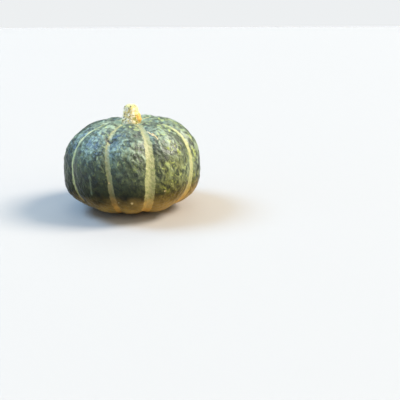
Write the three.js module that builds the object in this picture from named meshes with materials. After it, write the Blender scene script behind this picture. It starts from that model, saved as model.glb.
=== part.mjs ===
// A kabocha squash: one ribbed fruit, and the corky stem that stands in the hollow at its top.
// Millimetres, +Z up. The fruit's front is towards -Y, and azimuths run from the front to +X.
import * as THREE from "three";

// The fruit's outline, a superellipse that is squarer over the shoulders than under the base.
const FRUIT_RADIUS = 85; // over the crowns of the ribs, at the widest level
const SHOULDER_LEVEL = 113.7; // height that the outline would reach on its axis, with no stem hollow
const WIDEST_LEVEL = 47;
const SHOULDER_SQUARENESS = 2.8;
const BASE_SQUARENESS = 2.35;
const LEAN = 0.034; // rise of the shoulders for each millimetre from left to right

// The hollow round the stem, and the small dimple where the blossom was.
const STEM_HOLLOW = { depth: 9, radius: 20 };
const BLOSSOM_DIMPLE = { depth: 2.5, radius: 9 };

// The grooves between the ribs: each one's azimuths in degrees, at the latitudes listed below.
const GROOVES = [
  { base: -52, middle: -60, shoulder: -66 },
  { base: -16, middle: -19, shoulder: -26 },
  { base: 12.5, middle: 13.5, shoulder: 16.5 },
  { base: 52, middle: 59, shoulder: 64 },
  { base: 92, middle: 94, shoulder: 97 },
  { base: 126, middle: 129, shoulder: 132 },
  { base: 164, middle: 165, shoulder: 167 },
  { base: 204, middle: 203, shoulder: 201 },
  { base: 232, middle: 230, shoulder: 227 },
  { base: 268, middle: 264, shoulder: 260 },
];
const GROOVE_LATITUDES = { base: -30, middle: 10, shoulder: 55 };
const GROOVE_DEPTH = 4; // at the widest level
const GROOVE_ROUNDING = 0.12; // of the groove's floor, as a share of half a rib
const RIBS_FADE_FROM = 13; // the ribs die out towards both ends of the axis
const RIBS_FULL_AT = 32;

// The fruit's weight presses a small flat on the underside, which it rests on.
const RESTING_PRESS = 1.3;

// The stem, from its foot on the floor of the hollow to its cut end.
const STEM_GAP = 0.4; // the corky layer where it breaks away from the fruit
const STEM_TOP_LEVEL = 129.5;
const STEM_FOOT_RINGS = [0, 3, 6, 9]; // radii, on the hollow's floor
const STEM_SIDE = [
  { height: 0, radius: 11.4 },
  { height: 1.5, radius: 11.9 },
  { height: 5.5, radius: 11 },
  { height: 9.5, radius: 9.9 },
  { height: 13.5, radius: 9.1 },
  { height: 17, radius: 8.8 },
  { height: 19.6, radius: 8.2 },
  { height: 21.5, radius: 7 },
  { height: 22.9, radius: 4.8 },
];
const STEM_RIDGES = 5;
const STEM_RIDGE_HEIGHT = 0.5;
const STEM_KNOB = { azimuth: 60, height: 7.5, bulge: 2.5, width: 5.5 };
const STEM_RELIEF_FADE = 4; // height and radius over which the ridges and the knob fade in

// Fineness of the facets
const FRUIT_SEGMENTS = 80;
const STEM_SEGMENTS = 30;
const BASE_LATITUDES = [-90, -87, -84, -81, -78, -75, -72, -67, -60, -52, -44, -35, -26, -17, -8];
const SHOULDER_LATITUDES = [0, 9, 18, 27, 36, 44, 52, 59, 65, 70, 74, 77, 80, 83, 86, 88, 90];

const radians = THREE.MathUtils.degToRad;
const smoothstep = THREE.MathUtils.smoothstep;
const lerp = THREE.MathUtils.lerp;

// A round hollow: full depth on the axis, fading outwards.
function hollowDepth(hollow, radius) {
  return hollow.depth * Math.exp(-((radius / hollow.radius) ** 2));
}

// The outline at a latitude, from -90 at the blossom end to 90 at the stem end.
function outlinePoint(latitude) {
  const across = Math.abs(Math.cos(radians(latitude)));
  const along = Math.sin(radians(latitude));
  const upper = along >= 0;
  const squareness = upper ? SHOULDER_SQUARENESS : BASE_SQUARENESS;
  const reach = (across ** squareness + Math.abs(along) ** squareness) ** (-1 / squareness);
  const half = upper ? SHOULDER_LEVEL - WIDEST_LEVEL : WIDEST_LEVEL;
  return { radius: FRUIT_RADIUS * reach * across, level: WIDEST_LEVEL + half * reach * along };
}

// The height of a rib's section, a quarter circle that starts from a rounded groove floor.
function ribSection(fromGroove) {
  const eased = Math.hypot(fromGroove, GROOVE_ROUNDING) / Math.hypot(1, GROOVE_ROUNDING);
  return Math.sqrt(eased * (2 - eased));
}

// The azimuth of a groove at a latitude.
function grooveAzimuth(groove, latitude) {
  const { base, middle, shoulder } = GROOVE_LATITUDES;
  const towardsMiddle = THREE.MathUtils.clamp((latitude - base) / (middle - base), 0, 1);
  const towardsShoulder = THREE.MathUtils.clamp((latitude - middle) / (shoulder - middle), 0, 1);
  return lerp(lerp(groove.base, groove.middle, towardsMiddle), groove.shoulder, towardsShoulder);
}

// 0 on the crown of a rib and 1 at the bottom of a groove.
function grooveShare(azimuth, latitude) {
  const grooves = GROOVES.map((groove) => grooveAzimuth(groove, latitude));
  const around = THREE.MathUtils.euclideanModulo(azimuth - grooves[0], 360);
  const starts = grooves.map((groove) => groove - grooves[0]);
  const rib = starts.findLastIndex((start) => start <= around);
  const end = rib + 1 < starts.length ? starts[rib + 1] : 360;
  const fromGroove = (2 * Math.min(around - starts[rib], end - around)) / (end - starts[rib]);
  return (1 - ribSection(fromGroove)) / (1 - ribSection(0));
}

// Moves a point of the smooth outline to the ribbed, leaning, resting fruit.
function shapeFruitPoint(point, azimuth, latitude) {
  const radius = Math.hypot(point.x, point.y);
  const ribs = smoothstep(radius, RIBS_FADE_FROM, RIBS_FULL_AT);
  const shrink = 1 - (GROOVE_DEPTH / FRUIT_RADIUS) * grooveShare(azimuth, latitude) * ribs;
  const hollow = latitude > 0 ? -hollowDepth(STEM_HOLLOW, radius) : hollowDepth(BLOSSOM_DIMPLE, radius);
  point.x *= shrink;
  point.y *= shrink;
  point.z = WIDEST_LEVEL + (point.z - WIDEST_LEVEL) * shrink + hollow;
  const rise = LEAN * point.x * smoothstep(point.z, 0, WIDEST_LEVEL);
  point.z = Math.max(point.z + rise - RESTING_PRESS, 0);
}

// Runs a function over the vertices of a geometry and writes back what it changes.
function moveVertices(geometry, move) {
  const positions = geometry.attributes.position;
  const point = new THREE.Vector3();
  for (let i = 0; i < positions.count; i += 1) {
    point.fromBufferAttribute(positions, i);
    move(point, i);
    positions.setXYZ(i, point.x, point.y, point.z);
  }
  geometry.computeVertexNormals();
}

// A profile turned about the vertical axis, starting at the front.
function turned(profile, segments) {
  return new THREE.LatheGeometry(profile, segments).rotateX(Math.PI / 2);
}

function makeFruit() {
  const latitudes = [...BASE_LATITUDES, ...SHOULDER_LATITUDES];
  const profile = latitudes.map((latitude) => {
    const { radius, level } = outlinePoint(latitude);
    return new THREE.Vector2(radius, level);
  });
  const geometry = turned(profile, FRUIT_SEGMENTS);
  moveVertices(geometry, (point, i) => {
    const azimuth = (Math.floor(i / latitudes.length) / FRUIT_SEGMENTS) * 360;
    shapeFruitPoint(point, azimuth, latitudes[i % latitudes.length]);
  });
  const rind = new THREE.MeshStandardMaterial({ color: 0x3f5540, roughness: 0.5, metalness: 0 });
  const fruit = new THREE.Mesh(geometry, rind);
  fruit.name = "squash";
  return fruit;
}

// The level of the stem's underside at a radius, just clear of the floor of the hollow.
function footLevel(radius) {
  const inside = 1 - (radius / FRUIT_RADIUS) ** SHOULDER_SQUARENESS;
  const outline = (SHOULDER_LEVEL - WIDEST_LEVEL) * inside ** (1 / SHOULDER_SQUARENESS);
  return WIDEST_LEVEL + outline - hollowDepth(STEM_HOLLOW, radius) - RESTING_PRESS + STEM_GAP;
}

// How far the corky ridges and the knob stand out from the stem's round side.
function corkBulge(azimuth, height, radius) {
  const ridge = STEM_RIDGE_HEIGHT * Math.cos(STEM_RIDGES * azimuth);
  const aside = radius * Math.acos(Math.cos(azimuth - radians(STEM_KNOB.azimuth)));
  const fromKnob = Math.hypot(aside, height - STEM_KNOB.height);
  return ridge + STEM_KNOB.bulge * Math.exp(-((fromKnob / STEM_KNOB.width) ** 2));
}

function makeStem() {
  const rimLevel = footLevel(STEM_SIDE[0].radius);
  const foot = STEM_FOOT_RINGS.map((radius) => new THREE.Vector2(radius, footLevel(radius)));
  const side = STEM_SIDE.map(({ height, radius }) => new THREE.Vector2(radius, rimLevel + height));
  const cutEnd = new THREE.Vector2(0, STEM_TOP_LEVEL);
  const geometry = turned([...foot, ...side, cutEnd], STEM_SEGMENTS);
  moveVertices(geometry, (point) => {
    const azimuth = Math.atan2(point.x, -point.y);
    const radius = Math.hypot(point.x, point.y);
    const height = point.z - rimLevel;
    const share = smoothstep(height, 0, STEM_RELIEF_FADE) * smoothstep(radius, 0, STEM_RELIEF_FADE);
    const bulge = corkBulge(azimuth, height, radius) * share;
    point.x += bulge * Math.sin(azimuth);
    point.y -= bulge * Math.cos(azimuth);
    point.z += LEAN * point.x;
  });
  const cork = new THREE.MeshStandardMaterial({ color: 0xd9c27a, roughness: 0.85, metalness: 0 });
  const stem = new THREE.Mesh(geometry, cork);
  stem.name = "stem";
  return stem;
}

const squash = new THREE.Group();
squash.add(makeFruit(), makeStem());

// The origin is on the table, under the middle of the fruit's box.
const box = new THREE.Box3().setFromObject(squash);
squash.position.set(-(box.min.x + box.max.x) / 2, -(box.min.y + box.max.y) / 2, 0);

export default squash;
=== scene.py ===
# %% [markdown]
# # A kabocha squash
# A kabocha is a squat winter squash. Its rind is dark green and wrinkled, pale stripes run down
# the grooves between its ribs, and a short corky stem stands in the hollow at its top.
# The CAD model is loaded first and is never changed. It gives the place and the size of all that
# is made here.

# %% Load the CAD model
import math

import bmesh
import bpy
import numpy as np
from mathutils import Euler, Matrix, Vector, noise


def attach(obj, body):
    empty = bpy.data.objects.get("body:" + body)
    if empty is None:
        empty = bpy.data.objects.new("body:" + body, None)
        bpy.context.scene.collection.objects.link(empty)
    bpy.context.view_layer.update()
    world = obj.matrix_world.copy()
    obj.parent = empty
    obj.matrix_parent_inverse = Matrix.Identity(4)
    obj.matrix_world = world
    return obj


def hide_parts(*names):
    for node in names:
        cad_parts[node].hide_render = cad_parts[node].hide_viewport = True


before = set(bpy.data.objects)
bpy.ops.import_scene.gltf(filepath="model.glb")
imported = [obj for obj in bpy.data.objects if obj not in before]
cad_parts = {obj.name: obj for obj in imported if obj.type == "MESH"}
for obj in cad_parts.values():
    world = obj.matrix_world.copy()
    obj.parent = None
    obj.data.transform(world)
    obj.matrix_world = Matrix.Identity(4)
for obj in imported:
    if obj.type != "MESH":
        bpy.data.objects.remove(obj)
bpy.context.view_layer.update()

MM = 0.001
print("CAD nodes:", sorted(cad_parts))

# %% [markdown]
# ## The fruit's outline
# A squash is not a squashed ball: its shoulders are squarer than its base. A superellipse draws
# such an outline with one number for the squareness of each half. The function takes a
# direction from the middle of the widest level and gives the radius and level of the rind there.
# It is the rule that shaped the CAD model too, so that the two agree. Lengths are in millimetres.

# %% The smooth outline
FRUIT_RADIUS = 85.0
SHOULDER_LEVEL = 113.7
WIDEST_LEVEL = 47.0
SHOULDER_SQUARENESS = 2.8
BASE_SQUARENESS = 2.35


def smoothstep(value, start, end):
    share = np.clip((value - start) / (end - start), 0, 1)
    return share * share * (3 - 2 * share)


def outline(across, along):
    """Radius and level of the outline in a direction that goes so far across and so far up."""
    upper = along >= 0
    squareness = np.where(upper, SHOULDER_SQUARENESS, BASE_SQUARENESS)
    half = np.where(upper, SHOULDER_LEVEL - WIDEST_LEVEL, WIDEST_LEVEL)
    reach = (across**squareness + np.abs(along) ** squareness) ** (-1 / squareness)
    return FRUIT_RADIUS * reach * across, WIDEST_LEVEL + half * reach * along


print("outline: radius", FRUIT_RADIUS, "at level", WIDEST_LEVEL, "- top", SHOULDER_LEVEL)

# %% [markdown]
# ## Ribs and grooves
# Ten grooves run from the stem to the blossom end. They are unevenly spaced and lean a little,
# so each one has its own azimuth at the base, at the middle and at the shoulder. Azimuths are
# degrees that start at the front and go round to the right. Each groove also holds a pale
# stripe, with its widths in millimetres and its paleness at the same three places. These few
# numbers per groove drive both the relief and the colour.

# %% The grooves
LATITUDES = (-30, 10, 55)  # base, middle and shoulder
GROOVES = [
    {"azimuths": (-52, -60, -66), "stripe": (4.6, 4.6, 3.6), "paleness": (0.60, 1.0, 1.0)},
    {"azimuths": (-16, -19, -26), "stripe": (7.2, 6.4, 4.4), "paleness": (0.0, 0.56, 0.62)},
    {"azimuths": (12.5, 13.5, 16.5), "stripe": (12.0, 12.0, 7.0), "paleness": (0.80, 0.95, 0.62)},
    {"azimuths": (52, 59, 64), "stripe": (12.5, 8.5, 3.6), "paleness": (0.80, 1.0, 0.95)},
    {"azimuths": (92, 94, 97), "stripe": (5.0, 4.0, 2.4), "paleness": (0.40, 0.55, 0.60)},
    {"azimuths": (126, 129, 132), "stripe": (9.5, 8.5, 5.0), "paleness": (0.70, 0.90, 0.80)},
    {"azimuths": (164, 165, 167), "stripe": (6.0, 5.0, 3.6), "paleness": (0.35, 0.60, 0.65)},
    {"azimuths": (204, 203, 201), "stripe": (11.0, 10.0, 6.0), "paleness": (0.80, 0.95, 0.90)},
    {"azimuths": (232, 230, 227), "stripe": (6.0, 5.5, 4.0), "paleness": (0.30, 0.50, 0.60)},
    {"azimuths": (268, 264, 260), "stripe": (8.0, 7.0, 4.0), "paleness": (0.60, 0.80, 0.75)},
]
GROOVE_DEPTH = 4.0
GROOVE_ROUNDING = 0.12


def groove_angles(latitude):
    """Azimuth of every groove, one row for each latitude."""
    return np.stack([np.interp(latitude, LATITUDES, g["azimuths"]) for g in GROOVES], axis=1)


def rib_section(from_groove):
    """A quarter circle that starts from a rounded groove floor and ends on the rib's crown."""
    eased = np.hypot(from_groove, GROOVE_ROUNDING) / math.hypot(1, GROOVE_ROUNDING)
    return np.sqrt(eased * (2 - eased))


def groove_share(azimuth, latitude):
    """0 on the crown of a rib and 1 at the bottom of a groove."""
    turns = (azimuth[:, None] - groove_angles(latitude)) % 360
    behind, ahead = turns.min(axis=1), 360 - turns.max(axis=1)
    section = rib_section(2 * np.minimum(behind, ahead) / (behind + ahead))
    return (1 - section) / (1 - rib_section(0))


print(len(GROOVES), "grooves,", GROOVE_DEPTH, "mm deep at the widest level")

# %% [markdown]
# ## From a direction to the rind
# The ribs die out towards the stem and the blossom end. A round hollow holds the stem, and a
# dimple marks the blossom end. The shoulders rise a little from left to right, and the fruit's
# own weight presses a small flat on the underside, which it rests on.

# %% Shape directions into the ribbed fruit
LEAN = 0.034
STEM_HOLLOW = {"depth": 9.0, "radius": 20.0}
BLOSSOM_DIMPLE = {"depth": 2.5, "radius": 9.0}
RIBS_FADE_FROM = 13.0
RIBS_FULL_AT = 32.0
RESTING_PRESS = 1.3


def hollow_depth(hollow, radius):
    return hollow["depth"] * np.exp(-((radius / hollow["radius"]) ** 2))


def fruit_points(azimuth, latitude):
    """Points of the rind at azimuths and latitudes in degrees, round the stem's axis."""
    turn, climb = np.radians(azimuth), np.radians(latitude)
    radius, level = outline(np.abs(np.cos(climb)), np.sin(climb))
    ribs = smoothstep(radius, RIBS_FADE_FROM, RIBS_FULL_AT)
    shrink = 1 - GROOVE_DEPTH / FRUIT_RADIUS * groove_share(azimuth, latitude) * ribs
    sunk = -hollow_depth(STEM_HOLLOW, radius)
    raised = hollow_depth(BLOSSOM_DIMPLE, radius)
    x, y = radius * shrink * np.sin(turn), -radius * shrink * np.cos(turn)
    z = WIDEST_LEVEL + (level - WIDEST_LEVEL) * shrink + np.where(latitude > 0, sunk, raised)
    z = np.maximum(z + LEAN * x * smoothstep(z, 0, WIDEST_LEVEL) - RESTING_PRESS, 0)
    return np.stack([x, y, z], axis=1)


level_ring = np.arange(0.0, 360.0, 1.0)
widest_points = fruit_points(level_ring, np.zeros(len(level_ring)))
AXIS = -(widest_points.max(0) + widest_points.min(0)) / 2 * (1, 1, 0)
print("the stem's axis stands at (mm):", AXIS.round(2))

# %% [markdown]
# ## The fruit's mesh
# A UV sphere would crowd its faces at the stem and the blossom end. A cube whose faces are
# divided into fine grids and then pushed out to a sphere has faces of about the same size
# all over. Taking the tangent of the grid evens them out further. Each vertex is then only a
# direction, and the functions above move it to its place on the rind.

# %% Helpers that turn a bmesh into an object and move its vertices
def object_from(bm, name):
    bmesh.ops.recalc_face_normals(bm, faces=bm.faces[:])
    mesh = bpy.data.meshes.new(name)
    bm.to_mesh(mesh)
    bm.free()
    mesh.shade_smooth()
    made = bpy.data.objects.new(name, mesh)
    bpy.context.scene.collection.objects.link(made)
    return made


def read_vertices(mesh, what="co"):
    flat = np.empty(len(mesh.vertices) * 3, np.float32)
    mesh.vertices.foreach_get(what, flat)
    return flat.reshape(-1, 3).astype(float)


def write_vertices(mesh, points):
    mesh.vertices.foreach_set("co", points.astype(np.float32).ravel())
    mesh.update()


def store(mesh, name, values):
    """Keeps one number per vertex on the mesh, where a material can read it."""
    attribute = mesh.attributes.new(name, "FLOAT", "POINT")
    attribute.data.foreach_set("value", np.asarray(values, np.float32))


def store_places(mesh, name, points):
    """Keeps one place per vertex on the mesh."""
    attribute = mesh.attributes.new(name, "FLOAT_VECTOR", "POINT")
    attribute.data.foreach_set("vector", points.astype(np.float32).ravel())


# %% A cube divided into fine grids, pushed out to the rind
GRID = 128  # squares along each edge of the cube

fruit_bm = bmesh.new()
bmesh.ops.create_cube(fruit_bm, size=2)
bmesh.ops.subdivide_edges(fruit_bm, edges=fruit_bm.edges[:], cuts=GRID - 1, use_grid_fill=True)
ribbed_fruit = object_from(fruit_bm, "ribbed_fruit")

directions = np.tan(read_vertices(ribbed_fruit.data) * math.pi / 4)
directions /= np.linalg.norm(directions, axis=1)[:, None]
azimuths = np.degrees(np.arctan2(directions[:, 0], -directions[:, 1]))
latitudes = np.degrees(np.arcsin(np.clip(directions[:, 2], -1, 1)))
smooth_points = fruit_points(azimuths, latitudes) + AXIS
write_vertices(ribbed_fruit.data, smooth_points * MM)
print("fruit:", len(ribbed_fruit.data.polygons), "faces")

# %% [markdown]
# ## Where the stripes lie
# The stripes are colour, but their place follows the relief, so it is worked out here for each
# vertex and stored on the mesh. The number kept is how far a point lies inside its nearest
# stripe, negative outside it. Unlike a painted image it stays sharp however close the view is,
# because the material draws the edge itself, between the vertices.

# %% Store how far each vertex lies inside its nearest stripe
STRIPES_FULL_AT = 46.0  # radius below which the stripes thin out towards the axis
STRIPE_TAPER = 0.8  # 1 would thin them evenly, and less keeps them wide for longer


def nearest_groove(azimuth, latitude):
    """Index of the nearest groove and the turn away from it, in degrees."""
    turn = (azimuth[:, None] - groove_angles(latitude) + 180) % 360 - 180
    index = np.argmin(np.abs(turn), axis=1)
    return index, turn[np.arange(len(turn)), index]


def of_groove(what, index, latitude):
    """One of the three-part values of each point's nearest groove, at the point's latitude."""
    values = np.stack([np.interp(latitude, LATITUDES, g[what]) for g in GROOVES], axis=1)
    return values[np.arange(len(index)), index]


axis_radius = np.hypot(smooth_points[:, 0] - AXIS[0], smooth_points[:, 1] - AXIS[1])
groove_index, groove_turn = nearest_groove(azimuths, latitudes)
from_groove = np.radians(np.abs(groove_turn)) * axis_radius
thinning = np.clip(axis_radius / STRIPES_FULL_AT, 0, 1) ** STRIPE_TAPER
stripe_width = of_groove("stripe", groove_index, latitudes) * thinning
inside_stripe = stripe_width / 2 - from_groove
store(ribbed_fruit.data, "inside_stripe", inside_stripe)
store(ribbed_fruit.data, "paleness", of_groove("paleness", groove_index, latitudes))
store(ribbed_fruit.data, "axis_radius", axis_radius)
store_places(ribbed_fruit.data, "smooth_place", smooth_points * MM)
print("share of the rind that is striped:", round(float((inside_stripe > 0).mean()), 3))

# %% [markdown]
# ## Marks
# Fruit that grew on the ground has cracks, pits and grazes that healed to tan cork. Each one
# here is a short path of azimuths and latitudes with a radius in millimetres. Cracks and pits
# are pressed into the mesh as deep as their radius, and every mark is also coloured in the
# material further down.

# %% List the marks and find their places
MARKS = [
    {"kind": "crack", "path": [(-27, 47.4), (-22.5, 45.2), (-19, 47.4)], "radius": 1.5},
    {"kind": "crack", "path": [(62.5, 67), (66.5, 63)], "radius": 1.2},
    {"kind": "crack", "path": [(-77, 38), (-73, 36.5)], "radius": 1.0},
    {"kind": "crack", "path": [(139, 8), (143, 3)], "radius": 0.8},
    {"kind": "pit", "path": [(48.5, 56.6)], "radius": 1.8},
    {"kind": "pit", "path": [(-150, 31)], "radius": 1.2},
    {"kind": "pit", "path": [(112, -12)], "radius": 1.0},
    {"kind": "graze", "path": [(21.5, 55), (24, 48.6)], "radius": 0.8},
    {"kind": "graze", "path": [(24.5, 51.6), (27, 44.6)], "radius": 0.8},
    {"kind": "graze", "path": [(-1.5, -21.7)], "radius": 1.7},
    {"kind": "graze", "path": [(25, -8.2)], "radius": 1.0},
    {"kind": "graze", "path": [(-12.5, -21.7)], "radius": 0.9},
    {"kind": "graze", "path": [(118, 33), (124, 24)], "radius": 0.8},
    {"kind": "graze", "path": [(-128, 18), (-121, 30)], "radius": 0.9},
    {"kind": "graze", "path": [(181, -6)], "radius": 1.4},
    {"kind": "graze", "path": [(-19.5, 5.7)], "radius": 1.0},
    {"kind": "scratch", "path": [(-13.5, 47.6), (-9.5, 53.6)], "radius": 0.7},
    {"kind": "scratch", "path": [(-36, 12), (-34.5, -9)], "radius": 1.4},
    {"kind": "scratch", "path": [(79, 58), (71.5, 50.6), (69, 42)], "radius": 0.8},
    {"kind": "scratch", "path": [(148, 52), (151, 40)], "radius": 0.7},
    {"kind": "stain", "path": [(-8, 68), (6, 66.5)], "radius": 2.8},
    {"kind": "stain", "path": [(78, 70), (92, 66)], "radius": 3.2},
    {"kind": "freckle", "path": [(-14, 65), (-13, 64)], "radius": 1.5},
    {"kind": "freckle", "path": [(-3, 64.5), (-1, 63.5)], "radius": 1.6},
    {"kind": "freckle", "path": [(8, 64), (8, 62.5)], "radius": 1.5},
    {"kind": "freckle", "path": [(5, 59), (9, 58.5)], "radius": 1.6},
    {"kind": "freckle", "path": [(44, 60), (47, 59.5)], "radius": 1.5},
    {"kind": "freckle", "path": [(-44, 62), (-42, 61)], "radius": 1.4},
    {"kind": "freckle", "path": [(146, 44), (146, 40)], "radius": 1.6},
    {"kind": "freckle", "path": [(-95, 30), (-94, 25)], "radius": 1.5},
    {"kind": "freckle", "path": [(-172, 50), (-170, 47)], "radius": 1.5},
]


def on_rind(azimuth, latitude):
    """The nearest vertex of the smooth rind to a place, in millimetres."""
    turn, climb = math.radians(azimuth), math.radians(latitude)
    flat = math.cos(climb)
    aim = np.array([flat * math.sin(turn), -flat * math.cos(turn), math.sin(climb)])
    return smooth_points[np.argmax(directions @ aim)]


def stretches(mark):
    """The straight stretches of a mark's path, as pairs of points on the rind."""
    points = [on_rind(*place) for place in mark["path"]]
    return list(zip(points, points[1:])) or [(points[0], points[0])]


print(len(MARKS), "marks of", len({mark["kind"] for mark in MARKS}), "kinds")

# %% [markdown]
# ## Lumps and wrinkles
# The rind of a kabocha is never smooth: it swells and sinks over a few centimetres, and it is
# wrinkled like coarse leather over a few millimetres. Relief of this size shows at the rim and
# in the highlights, so it is sculpted into the mesh, along the normals. Noise from mathutils
# gives the same lumps on every run. The stripes are calmer than the green between them.

# %% Relief of the rind at a point
SWELL = {"height": 0.8, "size": 30.0}
FOLDS = {"height": 0.65, "size": 7.0, "rise": 0.35, "sharpness": 1.6}
WRINKLES = {"height": 0.55, "size": 3.4}
SLANT = Euler((0.3, 0.5, 0.0))  # the folds and wrinkles run down at a slant
SLANTED_STRETCH = 0.6
slanted = Matrix.Diagonal((1, 1, SLANTED_STRETCH)) @ SLANT.to_matrix()
FOLDS_FROM = Vector((7, 3, 5))  # noises read at different places don't line up
WRINKLES_FROM = Vector((1, 9, 4))


def relief(point, liveliness):
    """Height of the rind above its smooth shape at a point, in millimetres."""
    along = slanted @ point
    fold = noise.noise(along / FOLDS["size"] + FOLDS_FROM)
    wrinkle = noise.noise(along / WRINKLES["size"] + WRINKLES_FROM)
    height = SWELL["height"] * noise.noise(point / SWELL["size"])
    height += liveliness * FOLDS["height"] * (FOLDS["rise"] - FOLDS["sharpness"] * abs(fold))
    return height + liveliness * WRINKLES["height"] * wrinkle


print("wrinkles", WRINKLES["height"], "mm high and", WRINKLES["size"], "mm across")

# %% Sculpt the relief, the cracks and the pits
STRIPE_CALM = 0.55  # how much flatter a stripe is than the green rind
STRIPE_EDGE = 1.5  # half the width over which it turns calm
HOLLOW_CALM = (8, 26)  # distances from the axis between which the relief comes in
PRESSED_REACH = 1.3  # of a crack's radius, over which it is pressed in


def distance_to(points, start, end):
    """Distance of each point from the straight line between two points."""
    along = end - start
    share = np.clip((points - start) @ along / max(along @ along, 1e-9), 0, 1)
    return np.linalg.norm(points - start - share[:, None] * along, axis=1)


liveliness = 1 - STRIPE_CALM * smoothstep(inside_stripe, -STRIPE_EDGE, STRIPE_EDGE)
liveliness *= smoothstep(axis_radius, *HOLLOW_CALM)
heights = np.array([relief(Vector(p), share) for p, share in zip(smooth_points, liveliness)])
normals = read_vertices(ribbed_fruit.data, "normal")
sculpted = smooth_points + normals * heights[:, None]
for mark in MARKS:
    if mark["kind"] in ("crack", "pit"):
        for start, end in stretches(mark):
            away = distance_to(smooth_points, start, end) / (mark["radius"] * PRESSED_REACH)
            sculpted -= normals * (mark["radius"] * np.exp(-(away**2)))[:, None]
sculpted[:, 2] = np.maximum(sculpted[:, 2], 0)
write_vertices(ribbed_fruit.data, sculpted * MM)
store(ribbed_fruit.data, "relief", heights)
print("relief from", heights.min().round(2), "to", heights.max().round(2), "mm")

# %% [markdown]
# ## The stem
# The stem is a stub of cork, flared where it grips the fruit and rounded over at its cut end.
# Its half section is a chain of points, and Spin turns it round the axis, which suits a shape
# that is nearly round. The ridges, the knob on its right and the cracked cork are then
# sculpted, because no two sides of it are alike.

# %% Spin the stem
STEM_GAP = 0.4
STEM_TOP_LEVEL = 129.5
STEM_SIDE = [(11.4, 0), (11.9, 1.5), (11, 5.5), (9.9, 9.5), (9.1, 13.5), (8.8, 17.0)]
STEM_SHOULDER = [(8.2, 19.6), (7.0, 21.5), (4.8, 22.9)]
STEM_FOOT_RINGS = (0, 3, 6, 9)
STEM_STEPS = 160
CHAIN_CUTS = 7
STEM_SMOOTHINGS = 4


def foot_level(radius):
    """Level of the stem's underside, just clear of the floor of the hollow."""
    inside = (1 - (radius / FRUIT_RADIUS) ** SHOULDER_SQUARENESS) ** (1 / SHOULDER_SQUARENESS)
    top = WIDEST_LEVEL + (SHOULDER_LEVEL - WIDEST_LEVEL) * inside
    return top - hollow_depth(STEM_HOLLOW, radius) - RESTING_PRESS + STEM_GAP


RIM_LEVEL = float(foot_level(STEM_SIDE[0][0]))
section = [(radius, float(foot_level(radius))) for radius in STEM_FOOT_RINGS]
section += [(radius, RIM_LEVEL + height) for radius, height in STEM_SIDE + STEM_SHOULDER]
section += [(0, STEM_TOP_LEVEL)]

stem_bm = bmesh.new()
chain = [stem_bm.verts.new((radius, 0, level)) for radius, level in section]
for start, end in zip(chain, chain[1:]):
    stem_bm.edges.new((start, end))
bmesh.ops.subdivide_edges(stem_bm, edges=stem_bm.edges[:], cuts=CHAIN_CUTS)
bmesh.ops.spin(
    stem_bm,
    geom=stem_bm.verts[:] + stem_bm.edges[:],
    axis=(0, 0, 1),
    cent=(0, 0, 0),
    angle=2 * math.pi,
    steps=STEM_STEPS,
    use_merge=True,
)
bmesh.ops.remove_doubles(stem_bm, verts=stem_bm.verts[:], dist=0.001)
for _ in range(STEM_SMOOTHINGS):
    bmesh.ops.smooth_vert(
        stem_bm,
        verts=stem_bm.verts[:],
        factor=0.5,
        use_axis_x=True,
        use_axis_y=True,
        use_axis_z=True,
    )
corky_stem = object_from(stem_bm, "corky_stem")
stem_points = read_vertices(corky_stem.data)
print("stem:", len(corky_stem.data.polygons), "faces")

# %% [markdown]
# ## Cork
# Cork cracks along the stem, so its relief is noise that is stretched upwards: furrows where
# the noise crosses zero, and warts from rounder noise. Five soft ridges and the knob are the
# same as on the CAD stem.

# %% Sculpt the ridges, the knob and the cork
STEM_RIDGES = {"count": 5, "height": 0.5}
KNOB = {"azimuth": 60.0, "height": 7.5, "bulge": 2.5, "width": 5.5}
RELIEF_FADE = 4.0
FURROWS = {"depth": 0.8, "size": 2.0, "stretch": 3.0, "sharpness": 3.2}
WARTS = {"height": 0.55, "size": 3.4}
CORK_GRAIN = {"height": 0.16, "size": 1.1}
WARTS_FROM = Vector((4, 2, 8))
CORK_FADE = 1.5  # height on either side of the stem's rim over which the cork comes in


def cork_relief(point):
    """Height of the furrowed cork at a point, in millimetres."""
    along = Vector((point.x, point.y, point.z / FURROWS["stretch"])) / FURROWS["size"]
    furrow = 1 - min(1, abs(noise.noise(along)) * FURROWS["sharpness"])
    wart = noise.noise(point / WARTS["size"] + WARTS_FROM)
    grain = noise.noise(point / CORK_GRAIN["size"])
    raised = WARTS["height"] * wart + CORK_GRAIN["height"] * grain
    return raised - FURROWS["depth"] * furrow**2


stem_azimuth = np.arctan2(stem_points[:, 0], -stem_points[:, 1])
stem_radius = np.hypot(stem_points[:, 0], stem_points[:, 1])
stem_height = stem_points[:, 2] - RIM_LEVEL
aside = stem_radius * np.arccos(np.cos(stem_azimuth - math.radians(KNOB["azimuth"])))
from_knob = np.hypot(aside, stem_height - KNOB["height"])
knob_share = np.exp(-((from_knob / KNOB["width"]) ** 2))
bulge = STEM_RIDGES["height"] * np.cos(STEM_RIDGES["count"] * stem_azimuth)
bulge += KNOB["bulge"] * knob_share
bulge *= smoothstep(stem_height, 0, RELIEF_FADE) * smoothstep(stem_radius, 0, RELIEF_FADE)
outward = np.stack([np.sin(stem_azimuth), -np.cos(stem_azimuth), np.zeros_like(bulge)], axis=1)
cork = np.array([cork_relief(Vector(point)) for point in stem_points])
cork *= smoothstep(stem_height, -CORK_FADE, CORK_FADE)
stem_normals = read_vertices(corky_stem.data, "normal")
stem_points = stem_points + outward * bulge[:, None] + stem_normals * cork[:, None]
stem_points[:, 2] += LEAN * stem_points[:, 0]
write_vertices(corky_stem.data, (stem_points + AXIS) * MM)
store(corky_stem.data, "knob_share", knob_share)
store(corky_stem.data, "stem_height", stem_height)
store(corky_stem.data, "cork_depth", -cork)
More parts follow.
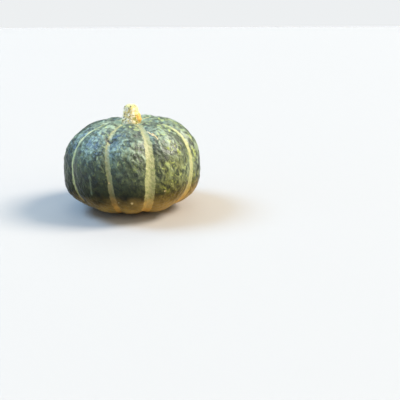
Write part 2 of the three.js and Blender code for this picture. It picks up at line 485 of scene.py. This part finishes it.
print("stem box (mm):", stem_points.min(0).round(1), stem_points.max(0).round(1))

# %% [markdown]
# ## Spots on the cork
# Dark specks sit round the rim of the cut end and in a few rows down the sides, and green skin
# still shows through the cork beside the knob. Each spot is an azimuth, a height over the foot
# and a radius in millimetres. The mesh is fine enough to carry them as numbers on its vertices.
# On the flat of the cut end a turn covers almost no distance, so a least radius stands in there.

# %% Store the dark specks and the green patches
SPECKS = [
    (-78, 20.6, 1.9), (-20, 19.0, 0.8), (0, 21.3, 1.2), (52, 21.2, 1.2), (110, 20.6, 1.3),
    (165, 21.0, 1.5), (-135, 20.8, 1.2), (-60, 12.5, 1.0), (-58, 8.7, 1.2), (-62, 4.7, 1.2),
    (-38, 3.2, 1.0), (-10, 9.6, 0.7), (14, 10.6, 0.7), (120, 11.0, 1.1), (128, 5.0, 1.3),
    (-160, 9.0, 1.2), (-150, 4.0, 1.0), (170, 14.0, 0.9), (-105, 14.5, 0.9), (-100, 6.5, 1.3),
]
GREEN_PATCHES = [
    (24, 6.6, 2.6), (34, 2.2, 2.2), (36, 10.6, 1.2), (-28, 12.0, 1.0), (150, 7.0, 2.4),
    (-125, 10.5, 1.8), (-45, 6.0, 1.2),
]
LEAST_SPOT_RADIUS = 4.0  # for turns near the axis


def spot_share(spots):
    """1 in the middle of each spot, falling softly to 0 at its edge."""
    share = np.zeros(len(stem_azimuth))
    for azimuth, height, radius in spots:
        turn = np.arccos(np.cos(stem_azimuth - math.radians(azimuth)))
        away = np.hypot(turn * np.maximum(stem_radius, LEAST_SPOT_RADIUS), stem_height - height)
        share = np.maximum(share, np.exp(-((away / radius) ** 2)))
    return share


store(corky_stem.data, "specks", spot_share(SPECKS))
store(corky_stem.data, "green_patches", spot_share(GREEN_PATCHES))
print(len(SPECKS), "dark specks and", len(GREEN_PATCHES), "green patches on the stem")

# %% [markdown]
# ## Building materials in code
# A material is a graph of nodes. A few short helpers keep that graph readable: `node` adds one
# and plugs in its inputs, `blend` mixes two colours, `product` multiplies shares, and `between`
# turns a range of a value into 0 to 1 with soft ends. `between` can also end at other values.

# %% Node helpers
def node(tree, kind, inputs=None, **settings):
    made = tree.nodes.new("ShaderNode" + kind)
    for name, value in settings.items():
        setattr(made, name, value)
    for name, value in (inputs or {}).items():
        socket = made.inputs[name]
        if isinstance(value, bpy.types.NodeSocket):
            tree.links.new(value, socket)
        elif socket.type == "RGBA":
            socket.default_value = (*value, 1)
        else:
            socket.default_value = value
    return made


def calc(tree, operation, first, second=0.0, clamp=False):
    return node(tree, "Math", {0: first, 1: second}, operation=operation, use_clamp=clamp).outputs[0]


def product(tree, first, *others):
    """Several values multiplied together."""
    for other in others:
        first = calc(tree, "MULTIPLY", first, other)
    return first


def centred(tree, value, reach):
    """A noise from 0 to 1 turned into one that goes as far below 0 as above it."""
    inputs = {0: value, 1: 2 * reach, 2: -reach}
    return node(tree, "Math", inputs, operation="MULTIPLY_ADD").outputs[0]


def between(tree, value, start, end, low=0.0, high=1.0):
    """Softly from low to high as the value goes from start to end."""
    inputs = {"Value": value, "From Min": start, "From Max": end, "To Min": low, "To Max": high}
    return node(tree, "MapRange", inputs, interpolation_type="SMOOTHSTEP").outputs["Result"]


def blend(tree, share, first, second, mode="MIX"):
    """Two colours mixed. The Mix node keeps its colour sockets at inputs 6 and 7, output 2."""
    mix = node(tree, "Mix", {0: share, 6: first, 7: second}, data_type="RGBA", blend_type=mode)
    return mix.outputs[2]


def noise_value(tree, vector, size, detail=2.0, rough=0.5, warp=0.0):
    """Noise from 0 to 1 whose lumps are about so many millimetres across."""
    inputs = {"Vector": vector, "Scale": 1 / (size * MM), "Detail": detail, "Roughness": rough}
    return node(tree, "TexNoise", {**inputs, "Distortion": warp}).outputs["Fac"]


def attribute(tree, name):
    return node(tree, "Attribute", attribute_name=name).outputs["Fac"]


def new_material(name):
    made = bpy.data.materials.new(name)
    made.use_nodes = True
    shader = next(n for n in made.node_tree.nodes if n.type == "BSDF_PRINCIPLED")
    return made, made.node_tree, shader


# %% [markdown]
# ## The green rind
# A kabocha's skin is deep green marbled with leaf green, under a thin grey-green film. The film is
# partly its real waxy bloom and partly painted light: it is laid on thickest on the shoulders as a
# painted sheen, and on the tops of the wrinkles as painted glints. Each is its own noise. The place
# comes from Object coordinates, so the pattern has no seam, and it is turned and stretched like
# the wrinkles, so that the colours run down with them. Places here are in metres.

# %% Marbled green under its film, with painted sheen and painted glints
DEEP_GREEN = (0.006, 0.011, 0.005)
LEAF_GREEN = (0.022, 0.035, 0.013)
# The film is partly the rind's real bloom and partly a painted sheen and painted glints.
FILM_AND_SHEEN_GREEN = (0.190, 0.245, 0.160)
# Lifting the right side makes the film's painted sheen, and the flecks, reach lower on the right.
RIGHT_LIFT = 0.24  # each millimetre to the right counts as that much of one higher
MARBLING = {"size": 8, "detail": 6, "rough": 0.7, "warp": 0.5}
LEAF_AT = (0.42, 0.60)  # where the marbling noise turns deep green to leaf green
MOTTLES = {"size": 5.0, "detail": 6, "rough": 0.68, "warp": 0.6}
FILM_AT = (0.38, 0.62)  # where the mottles carry the film
# painted sheen: the film thickens towards the top of the fruit
FILM_AND_SHEEN_BY_LEVEL = {"start": 0.040, "end": 0.098, "low": 0.04, "high": 1.0}
FILM_BY_PATCH = {"start": 0.3, "end": 0.6, "low": 0.8, "high": 1.0}
# painted glints: the film thickens on the tops of the wrinkles
PAINTED_GLINTS_BY_RELIEF = {"start": -0.45, "end": 0.35, "low": 0.25, "high": 1.25}  # in millimetres

rind, tree, shader = new_material("kabocha rind")
where = node(tree, "TexCoord").outputs["Object"]
sideways, _, height = node(tree, "SeparateXYZ", {0: where}).outputs
turned = node(tree, "Mapping", {"Vector": where, "Rotation": SLANT}).outputs[0]
slanting = node(tree, "Mapping", {"Vector": turned, "Scale": (1, 1, SLANTED_STRETCH)}).outputs[0]
lifted_height = calc(tree, "ADD", height, calc(tree, "MULTIPLY", sideways, RIGHT_LIFT))

marbling = noise_value(tree, slanting, **MARBLING)
greens = blend(tree, between(tree, marbling, *LEAF_AT), DEEP_GREEN, LEAF_GREEN)
mottles = noise_value(tree, slanting, **MOTTLES)
# real bloom in the mottles, with painted sheen on the top and the right and painted glints on the
# wrinkle tops
film_and_sheen_share = product(
    tree,
    between(tree, mottles, *FILM_AT),
    between(tree, lifted_height, **FILM_AND_SHEEN_BY_LEVEL),
    between(tree, noise_value(tree, where, 30), **FILM_BY_PATCH),
    between(tree, attribute(tree, "relief"), **PAINTED_GLINTS_BY_RELIEF),
)
greens = blend(tree, film_and_sheen_share, greens, FILM_AND_SHEEN_GREEN)
print("rind nodes so far:", len(tree.nodes))

# %% [markdown]
# ## Sunny side, flecks and veins
# One side of this fruit looks riper, as if it lay towards the sun: its mottles turn olive, and
# yellow-green flecks gather there. Thin veins of the same colour join the flecks. They are drawn
# where a noise crosses its middle value, which always gives crooked closed lines, and the
# mottles break those up.

# %% Olive mottles on the sunny side
SUNNY_GREEN = (0.330, 0.330, 0.060)
SUN_BY_MOTTLE = {"start": 0.38, "end": 0.60, "low": 0.02, "high": 0.30}
SUN_FROM_LEFT = (0.0, 0.045)  # the tint comes in to the right of the axis
SUN_FROM_TOP = (0.088, 0.066)  # and fades out again at the shoulders and at the foot
SUN_FROM_FOOT = (0.014, 0.040)
FAR_SIDE = {"start": 0.050, "end": 0.082, "low": 1.0, "high": 0.35}  # weaker further right

far_side = between(tree, sideways, **FAR_SIDE)
sun_share = product(
    tree,
    between(tree, mottles, **SUN_BY_MOTTLE),
    between(tree, sideways, *SUN_FROM_LEFT),
    far_side,
    between(tree, height, *SUN_FROM_TOP),
    between(tree, height, *SUN_FROM_FOOT),
)
greens = blend(tree, sun_share, greens, SUNNY_GREEN)
print("rind nodes so far:", len(tree.nodes))

# %% Yellow-green flecks
FLECK_GREEN = (0.380, 0.440, 0.095)
FLECKS = {"size": 4.6, "detail": 5, "rough": 0.65, "warp": 0.8}
FLECK_AT = (0.555, 0.65)
FLECK_PATCH_AT = (0.42, 0.60)
FLECKS_BY_SIDE = {"start": -0.02, "end": 0.07, "low": -0.12, "high": 0.12}
FLECKS_BY_LEVEL = {"start": 0.028, "end": 0.058, "low": 0.1, "high": 1.0}
SIDE_GROWTH = 0.18  # how much the side also widens each fleck
FLECK_STRENGTH = 0.72

side = calc(tree, "MULTIPLY", between(tree, sideways, **FLECKS_BY_SIDE), far_side)
fleck_patches = calc(tree, "ADD", noise_value(tree, where, 20, detail=1), side)
flecks = noise_value(tree, slanting, **FLECKS)
flecks = calc(tree, "ADD", flecks, calc(tree, "MULTIPLY", side, SIDE_GROWTH))
fleck_share = product(
    tree,
    between(tree, flecks, *FLECK_AT),
    between(tree, fleck_patches, *FLECK_PATCH_AT),
    between(tree, lifted_height, **FLECKS_BY_LEVEL),
    FLECK_STRENGTH,
)
greens = blend(tree, fleck_share, greens, FLECK_GREEN)

# %% Thin crooked veins
VEINS = {"size": 8, "detail": 3, "rough": 0.6, "warp": 0.8}
VEIN_WIDTH = (0.035, 0.010)  # from the noise's middle value, where a vein is faint and full
VEINS_AT = (0.44, 0.56)  # where the mottles let them show
VEINS_BY_LEVEL = {"start": 0.030, "end": 0.070, "low": 0.04, "high": 0.16}

vein_noise = noise_value(tree, slanting, **VEINS)
from_middle = calc(tree, "ABSOLUTE", calc(tree, "SUBTRACT", vein_noise, 0.5))
veins = product(
    tree,
    between(tree, from_middle, *VEIN_WIDTH),
    between(tree, mottles, *VEINS_AT),
    between(tree, height, **VEINS_BY_LEVEL),
)
greens = blend(tree, veins, greens, FLECK_GREEN)
print("rind nodes so far:", len(tree.nodes))

# %% [markdown]
# ## The stripes
# The stored number says how far a point lies inside its stripe. Noise is added to it, so that
# the edges wander and fray like real ones, and a soft threshold turns it into the stripe's mask.
# Inside, pale grey-green is broken up by greener streaks.

# %% Pale stripes with frayed edges
STRIPE_PALE = (0.350, 0.345, 0.160)
STRIPE_GREEN = (0.205, 0.240, 0.082)
FAINT_STRIPE = (0.066, 0.052, 0.024)
EDGE_WANDER = 1.7  # how far the edges wander and fray to either side, in millimetres
EDGE_FRAY = 1.3
EDGE_BLUR = (-0.5, 0.6)
STREAKS = {"size": 2.6, "detail": 4, "rough": 0.6}
STREAK_AT = (0.42, 0.70)

wander = centred(tree, noise_value(tree, where, 9, detail=3), EDGE_WANDER)
fray = centred(tree, noise_value(tree, where, 1.8, detail=3, rough=0.6), EDGE_FRAY)
inside = calc(tree, "ADD", attribute(tree, "inside_stripe"), calc(tree, "ADD", wander, fray))
stripe_mask = between(tree, inside, *EDGE_BLUR)
streaks = between(tree, noise_value(tree, slanting, **STREAKS), *STREAK_AT)
stripe_colour = blend(tree, streaks, STRIPE_PALE, STRIPE_GREEN)
stripe_colour = blend(tree, attribute(tree, "paleness"), FAINT_STRIPE, stripe_colour)
print("rind nodes so far:", len(tree.nodes))

# %% [markdown]
# ## Base, hollow and blossom end
# The underside is an ochre ground spot, where the fruit lay on the ground, and its ochre is also a
# painted warm bounce of light from below; the stripes turn orange there. A painted warm shade
# darkens the lower part of the fruit. A pale ring round the stem is a painted highlight on the rim
# of its hollow, and the blossom left a small round scar of tan cork underneath.

# %% Paint the highlight on the rim of the hollow and the shade on the base, and tint the ground spot
# ochre of the ground spot, which is also a painted warm bounce of light from below
OCHRE_AND_BOUNCE = (0.500, 0.310, 0.080)
STRIPE_OCHRE_AND_BOUNCE = (0.850, 0.450, 0.090)
# painted warm shade that darkens and warms the lower part of the fruit
PAINTED_WARM_SHADE = (0.48, 0.32, 0.14)
# painted highlight on the rim of the stem's hollow
PAINTED_RIM_HIGHLIGHT = (0.230, 0.310, 0.200)
RIM_HIGHLIGHT_REACH = {"start": 25, "end": 17, "low": 0.0, "high": 0.6}  # millimetres from the axis
# keeps the painted rim highlight off the underside
RIM_HIGHLIGHT_LEVELS = (0.05, 0.06)  # keeps the collar off the underside
PAINTED_SHADE_LEVELS = (0.066, 0.024)
SPOT_AND_BOUNCE_BY_LEVEL = {"start": 0.040, "end": 0.002, "low": 0.0, "high": 0.85}
GROUND_WANDER = 0.012
GROUND_TILT = 0.08  # the ochre climbs that much for its distance to the right
STRIPE_PAINTED_SHADE = 0.4

from_axis = attribute(tree, "axis_radius")
# painted highlight: a pale ring on the rim of the stem's hollow
rim_highlight = between(tree, from_axis, **RIM_HIGHLIGHT_REACH)
rim_highlight = calc(tree, "MULTIPLY", rim_highlight, between(tree, height, *RIM_HIGHLIGHT_LEVELS))
greens = blend(tree, rim_highlight, greens, PAINTED_RIM_HIGHLIGHT)

# painted shade: the lower part is multiplied darker and warmer, the stripes less than the green
painted_shade = between(tree, height, *PAINTED_SHADE_LEVELS)
greens = blend(tree, painted_shade, greens, PAINTED_WARM_SHADE, mode="MULTIPLY")
stripe_painted_shade = calc(tree, "MULTIPLY", painted_shade, STRIPE_PAINTED_SHADE)
stripe_colour = blend(tree, stripe_painted_shade, stripe_colour, PAINTED_WARM_SHADE, mode="MULTIPLY")

ragged = centred(tree, noise_value(tree, where, 12, detail=4), GROUND_WANDER)
ground_height = calc(tree, "ADD", height, ragged)
ground_height = calc(tree, "SUBTRACT", ground_height, calc(tree, "MULTIPLY", sideways, GROUND_TILT))
# ground spot and painted warm bounce: ochre towards the foot, climbing higher to the right
spot_and_bounce = between(tree, ground_height, **SPOT_AND_BOUNCE_BY_LEVEL)
greens = blend(tree, spot_and_bounce, greens, OCHRE_AND_BOUNCE)
stripe_colour = blend(tree, spot_and_bounce, stripe_colour, STRIPE_OCHRE_AND_BOUNCE)

# %% Lay the stripes over the green, and the blossom scar over both
SCAR_TAN = (0.420, 0.300, 0.150)
SCAR_EDGE = (5.6, 4.4)  # millimetres from the axis
UNDERSIDE = (0.030, 0.020)

skin = blend(tree, stripe_mask, greens, stripe_colour)
underneath = between(tree, height, *UNDERSIDE)
blossom = calc(tree, "MULTIPLY", between(tree, from_axis, *SCAR_EDGE), underneath)
skin = blend(tree, blossom, skin, SCAR_TAN)
print("rind nodes so far:", len(tree.nodes))

# %% [markdown]
# ## Colour the marks
# In the material, a mark is everything within its radius of its path. The distance is worked
# out by nodes from each point's place on the smooth rind, because the cracks were pressed away
# from their paths. Noise first makes that place ragged, so that no mark looks drawn with a pen.

# %% Paint each kind of mark
MARK_COLOURS = {
    "crack": (0.022, 0.017, 0.010),
    "pit": (0.018, 0.020, 0.010),
    "graze": (0.480, 0.350, 0.160),
    "scratch": (0.330, 0.380, 0.220),
    "stain": (0.010, 0.026, 0.007),
    "freckle": (0.420, 0.470, 0.130),
}
MARK_STRENGTHS = {
    "crack": 0.95,
    "pit": 0.9,
    "graze": 0.85,
    "scratch": 0.16,
    "stain": 0.9,
    "freckle": 0.45,
}
SOFT_EDGE = (1.25, 0.55)  # of a mark's radius, where its colour starts and where it is full
RAGGED = {"size": 2.2, "reach": 0.9}


def vector_calc(tree, operation, first, second=(0, 0, 0)):
    return node(tree, "VectorMath", {0: first, 1: second}, operation=operation).outputs


def shaken(tree, vector, size, reach):
    """Coordinates pushed about by noise, by up to so many millimetres."""
    shake = node(tree, "TexNoise", {"Vector": vector, "Scale": 1 / (size * MM), "Detail": 2})
    aside = vector_calc(tree, "SUBTRACT", shake.outputs["Color"], (0.5, 0.5, 0.5))["Vector"]
    scaled = node(tree, "VectorMath", {0: aside, "Scale": 2 * reach * MM}, operation="SCALE")
    return vector_calc(tree, "ADD", vector, scaled.outputs["Vector"])["Vector"]


def stretch_mask(tree, vector, start, end, radius):
    """1 within a radius in millimetres of the line between two points, with a soft edge."""
    along = Vector(end - start) * MM
    away = vector_calc(tree, "SUBTRACT", vector, Vector(start) * MM)["Vector"]
    toward = along / max(along.length_squared, 1e-12)
    share = vector_calc(tree, "DOT_PRODUCT", away, toward)["Value"]
    share = calc(tree, "ADD", share, 0.0, clamp=True)
    foot = node(tree, "VectorMath", {0: along, "Scale": share}, operation="SCALE").outputs[0]
    aside = vector_calc(tree, "SUBTRACT", away, foot)["Vector"]
    length = node(tree, "VectorMath", {0: aside}, operation="LENGTH").outputs["Value"]
    return between(tree, length, *[radius * share_of * MM for share_of in SOFT_EDGE])


smooth_place = node(tree, "Attribute", attribute_name="smooth_place").outputs["Vector"]
ragged_where = shaken(tree, smooth_place, **RAGGED)
for kind, colour in MARK_COLOURS.items():
    mask = None
    for mark in MARKS:
        if mark["kind"] != kind:
            continue
        for start, end in stretches(mark):
            one = stretch_mask(tree, ragged_where, start, end, mark["radius"])
            mask = one if mask is None else calc(tree, "MAXIMUM", mask, one)
    skin = blend(tree, calc(tree, "MULTIPLY", mask, MARK_STRENGTHS[kind]), skin, colour)
print("rind nodes with marks:", len(tree.nodes))

# %% [markdown]
# ## Sheen and fine grain
# The rind is satin: waxy, but too finely grained for a clear reflection. Fine noise goes to the
# bump, below the size of the sculpted wrinkles. The stripes are a little duller than the green,
# and the skin that lay on the ground has almost no wax left.

# %% Bump, roughness and shine of the rind
BUMP_HEIGHT = 0.8
GRAIN_SHARE = 0.25
GREEN_ROUGHNESS, STRIPE_ROUGHNESS = 0.33, 0.43
GROUND_SHINE, WAXY_SHINE = 0.12, 0.45
SHINE_LEVELS = (0.028, 0.072)

pebbles = noise_value(tree, where, 2.4, detail=3, rough=0.55, warp=0.5)
grain = noise_value(tree, where, 0.6, detail=2)
bump_height = calc(tree, "ADD", pebbles, calc(tree, "MULTIPLY", grain, GRAIN_SHARE))
bump = node(tree, "Bump", {"Strength": 1.0, "Distance": BUMP_HEIGHT * MM, "Height": bump_height})
duller = calc(tree, "MULTIPLY", stripe_mask, STRIPE_ROUGHNESS - GREEN_ROUGHNESS)
rough = calc(tree, "ADD", duller, GREEN_ROUGHNESS)
shine = between(tree, height, *SHINE_LEVELS, GROUND_SHINE, WAXY_SHINE)
tree.links.new(skin, shader.inputs["Base Color"])
tree.links.new(bump.outputs[0], shader.inputs["Normal"])
tree.links.new(rough, shader.inputs["Roughness"])
tree.links.new(shine, shader.inputs["Specular IOR Level"])
ribbed_fruit.data.materials.append(rind)
print("rind nodes:", len(tree.nodes))

# %% [markdown]
# ## The cork's colours
# Dry cork is cream with honey blotches and straw strands, and darker in its furrows. The knob
# is a warm orange yellow. The green patches and the dark specks come from the numbers stored on
# the mesh, made ragged with noise, because a real speck is never round.

# %% Cream, honey and straw
CREAM = (0.660, 0.590, 0.420)
HONEY = (0.610, 0.470, 0.180)
STRAW = (0.430, 0.400, 0.110)
STRANDS = {"size": 1.8, "detail": 4, "rough": 0.65, "warp": 0.6}
STRAND_SQUASH = 0.35  # stretches the strands upwards
HONEY_AT = (0.44, 0.62)
STRAW_BY_STRAND = {"start": 0.58, "end": 0.72, "low": 0.0, "high": 0.7}
STRAW_BY_HEIGHT = {"start": 18.5, "end": 21.5, "low": 0.0, "high": 0.6}  # the cut end

cork_material, tree, shader = new_material("stem cork")
where = node(tree, "TexCoord").outputs["Object"]
upright = node(tree, "Mapping", {"Vector": where, "Scale": (1, 1, STRAND_SQUASH)}).outputs[0]
strands = between(tree, noise_value(tree, upright, **STRANDS), **STRAW_BY_STRAND)
blotches = between(tree, noise_value(tree, where, 3.5, detail=3), *HONEY_AT)
cork_colour = blend(tree, blotches, CREAM, HONEY)
cork_colour = blend(tree, strands, cork_colour, STRAW)
crown = between(tree, attribute(tree, "stem_height"), **STRAW_BY_HEIGHT)
cork_colour = blend(tree, crown, cork_colour, STRAW)
print("cork nodes so far:", len(tree.nodes))

# %% The knob, the green patches, the furrows and the specks
ORANGE = (0.620, 0.340, 0.060)
OLIVE = (0.240, 0.240, 0.025)
BARK_BROWN = (0.060, 0.042, 0.018)
RAGGING = {"start": 0.30, "end": 0.70, "low": -0.45, "high": 0.45}  # shifts a spot's edge
KNOB_RAGGING = 0.4  # of that, at the knob
KNOB_COLOUR = {"start": 0.15, "end": 0.60, "low": 0.0, "high": 0.9}
PATCH_COLOUR = {"start": 0.35, "end": 0.65, "low": 0.0, "high": 0.9}
SPECK_COLOUR = {"start": 0.35, "end": 0.60, "low": 0.0, "high": 0.9}
FURROW_COLOUR = {"start": 0.35, "end": 0.90, "low": 0.0, "high": 0.4}  # by depth in millimetres

ragging = between(tree, noise_value(tree, where, 1.6, detail=3, rough=0.7), **RAGGING)
knob_ragging = calc(tree, "MULTIPLY", ragging, KNOB_RAGGING)
knob = calc(tree, "ADD", attribute(tree, "knob_share"), knob_ragging)
cork_colour = blend(tree, between(tree, knob, **KNOB_COLOUR), cork_colour, ORANGE)
green = calc(tree, "ADD", attribute(tree, "green_patches"), ragging)
cork_colour = blend(tree, between(tree, green, **PATCH_COLOUR), cork_colour, OLIVE)
furrows = between(tree, attribute(tree, "cork_depth"), **FURROW_COLOUR)
cork_colour = blend(tree, furrows, cork_colour, BARK_BROWN)
specks = calc(tree, "ADD", attribute(tree, "specks"), ragging)
cork_colour = blend(tree, between(tree, specks, **SPECK_COLOUR), cork_colour, BARK_BROWN)
print("cork nodes so far:", len(tree.nodes))

# %% Dry, dull cork
CORK_ROUGHNESS = 0.85
CORK_BUMP_HEIGHT = 0.4
CORK_BUMP_STRENGTH = 0.7

cork_grain = noise_value(tree, upright, 0.7, detail=3)
cork_bump_values = {"Strength": CORK_BUMP_STRENGTH, "Distance": CORK_BUMP_HEIGHT * MM}
cork_bump = node(tree, "Bump", {**cork_bump_values, "Height": cork_grain})
tree.links.new(cork_colour, shader.inputs["Base Color"])
tree.links.new(cork_bump.outputs[0], shader.inputs["Normal"])
shader.inputs["Roughness"].default_value = CORK_ROUGHNESS
corky_stem.data.materials.append(cork_material)
print("cork nodes:", len(tree.nodes))

# %% [markdown]
# ## Stand in for the CAD model
# Each finished piece takes over from its CAD node and rides on the same body.

# %% Hand over from the CAD nodes
for piece, cad_node, material_slot in (
    (ribbed_fruit, "squash", "rind"),
    (corky_stem, "stem", "cork"),
):
    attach(piece, "root")
    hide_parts(cad_node)
    print(piece.name, "stands in for", cad_node)

# %% [markdown]
# ## Floor and light
# The fruit stands on a plain pale floor that doesn't show its edges. Sun lights with a wide
# angle act as far-off soft boxes: they light every part alike, and the angle sets how soft the
# shadows and how broad the highlights are. A cool window on the left and a warm one on the
# right make the two highlights on the shoulders. The other four only fill in the back, the two
# flanks and the front.

# %% Floor
FLOOR_HALF = 6.0
FLOOR_COLOUR = (0.32, 0.295, 0.265)
FLOOR_ROUGHNESS = 0.9

floor_bm = bmesh.new()
bmesh.ops.create_grid(floor_bm, x_segments=1, y_segments=1, size=FLOOR_HALF)
floor = object_from(floor_bm, "floor")
paper, tree, shader = new_material("white paper")
shader.inputs["Base Color"].default_value = (*FLOOR_COLOUR, 1)
shader.inputs["Roughness"].default_value = FLOOR_ROUGHNESS
floor.data.materials.append(paper)
print("floor:", 2 * FLOOR_HALF, "m across")

# %% Lights
SOFT_LIGHTS = [
    ("cool window", (-0.60, 0.20, 0.77), 5.0, 28, (0.36, 0.62, 1.0)),
    ("back window", (0.05, 0.55, 0.83), 1.5, 50, (0.84, 0.95, 1.0)),
    ("warm window", (0.70, 0.0, 0.71), 6.2, 26, (1.0, 0.94, 0.87)),
    ("cool wall", (-0.90, -0.35, 0.20), 1.2, 60, (0.40, 0.68, 1.0)),
    ("warm wall", (0.88, -0.40, 0.28), 1.3, 50, (1.0, 0.90, 0.55)),
    ("front fill", (0.05, -0.68, 0.66), 1.3, 60, (1.0, 0.96, 0.86)),
]


def soft_light(name, direction, strength, spread, colour):
    """A far-off soft light that shines from a direction, as wide as its spread in degrees."""
    data = bpy.data.lights.new(name, "SUN")
    data.energy = strength
    data.angle = math.radians(spread)
    data.color = colour
    light = bpy.data.objects.new(name, data)
    light.rotation_euler = Vector(direction).to_track_quat("Z", "Y").to_euler()
    bpy.context.scene.collection.objects.link(light)


for light_values in SOFT_LIGHTS:
    soft_light(*light_values)
print(len(SOFT_LIGHTS), "soft lights")

# %% [markdown]
# ## The studio round the fruit
# The world is bright near the horizon and dim overhead, as in a tented studio, so that the sides
# of the fruit mirror something pale. The camera itself sees a plain pale wall instead. The
# Light Path node tells those two kinds of rays apart.

# %% World
TENT_HORIZON = (0.85, 0.85, 0.85)
TENT_ROOF = (0.12, 0.12, 0.12)
TENT_FADE = (0.03, 0.22)  # upward part of the direction, from the horizon to the roof
PALE_WALL = (0.85, 0.87, 0.88)

world = bpy.data.worlds.new("studio tent")
bpy.context.scene.world = world
world.use_nodes = True
tree = world.node_tree
background = next(n for n in tree.nodes if n.type == "BACKGROUND")
up = node(tree, "SeparateXYZ", {0: node(tree, "TexCoord").outputs["Generated"]}).outputs[2]
tent = blend(tree, between(tree, up, *TENT_FADE), TENT_HORIZON, TENT_ROOF)
seen = node(tree, "LightPath").outputs["Is Camera Ray"]
tree.links.new(blend(tree, seen, tent, PALE_WALL), background.inputs["Color"])
bpy.context.scene.view_settings.view_transform = "Standard"
print("world:", world.name)

# %% [markdown]
# ## Camera
# A normal lens looks slightly down at the fruit from the front, from about 0.8 m.

# %% Camera
LENS = 57
CAMERA_PLACE = (0, -0.776, 0.248)
CAMERA_TILT, CAMERA_ROLL, CAMERA_TURN = 72.65, 0, -6.26

camera_data = bpy.data.cameras.new("camera")
camera_data.lens = LENS
camera = bpy.data.objects.new("camera", camera_data)
camera.location = CAMERA_PLACE
camera.rotation_euler = [math.radians(turn) for turn in (CAMERA_TILT, CAMERA_ROLL, CAMERA_TURN)]
bpy.context.scene.collection.objects.link(camera)
bpy.context.scene.camera = camera
print("camera", round(Vector(CAMERA_PLACE).length, 2), "m from the middle of the floor under the fruit")
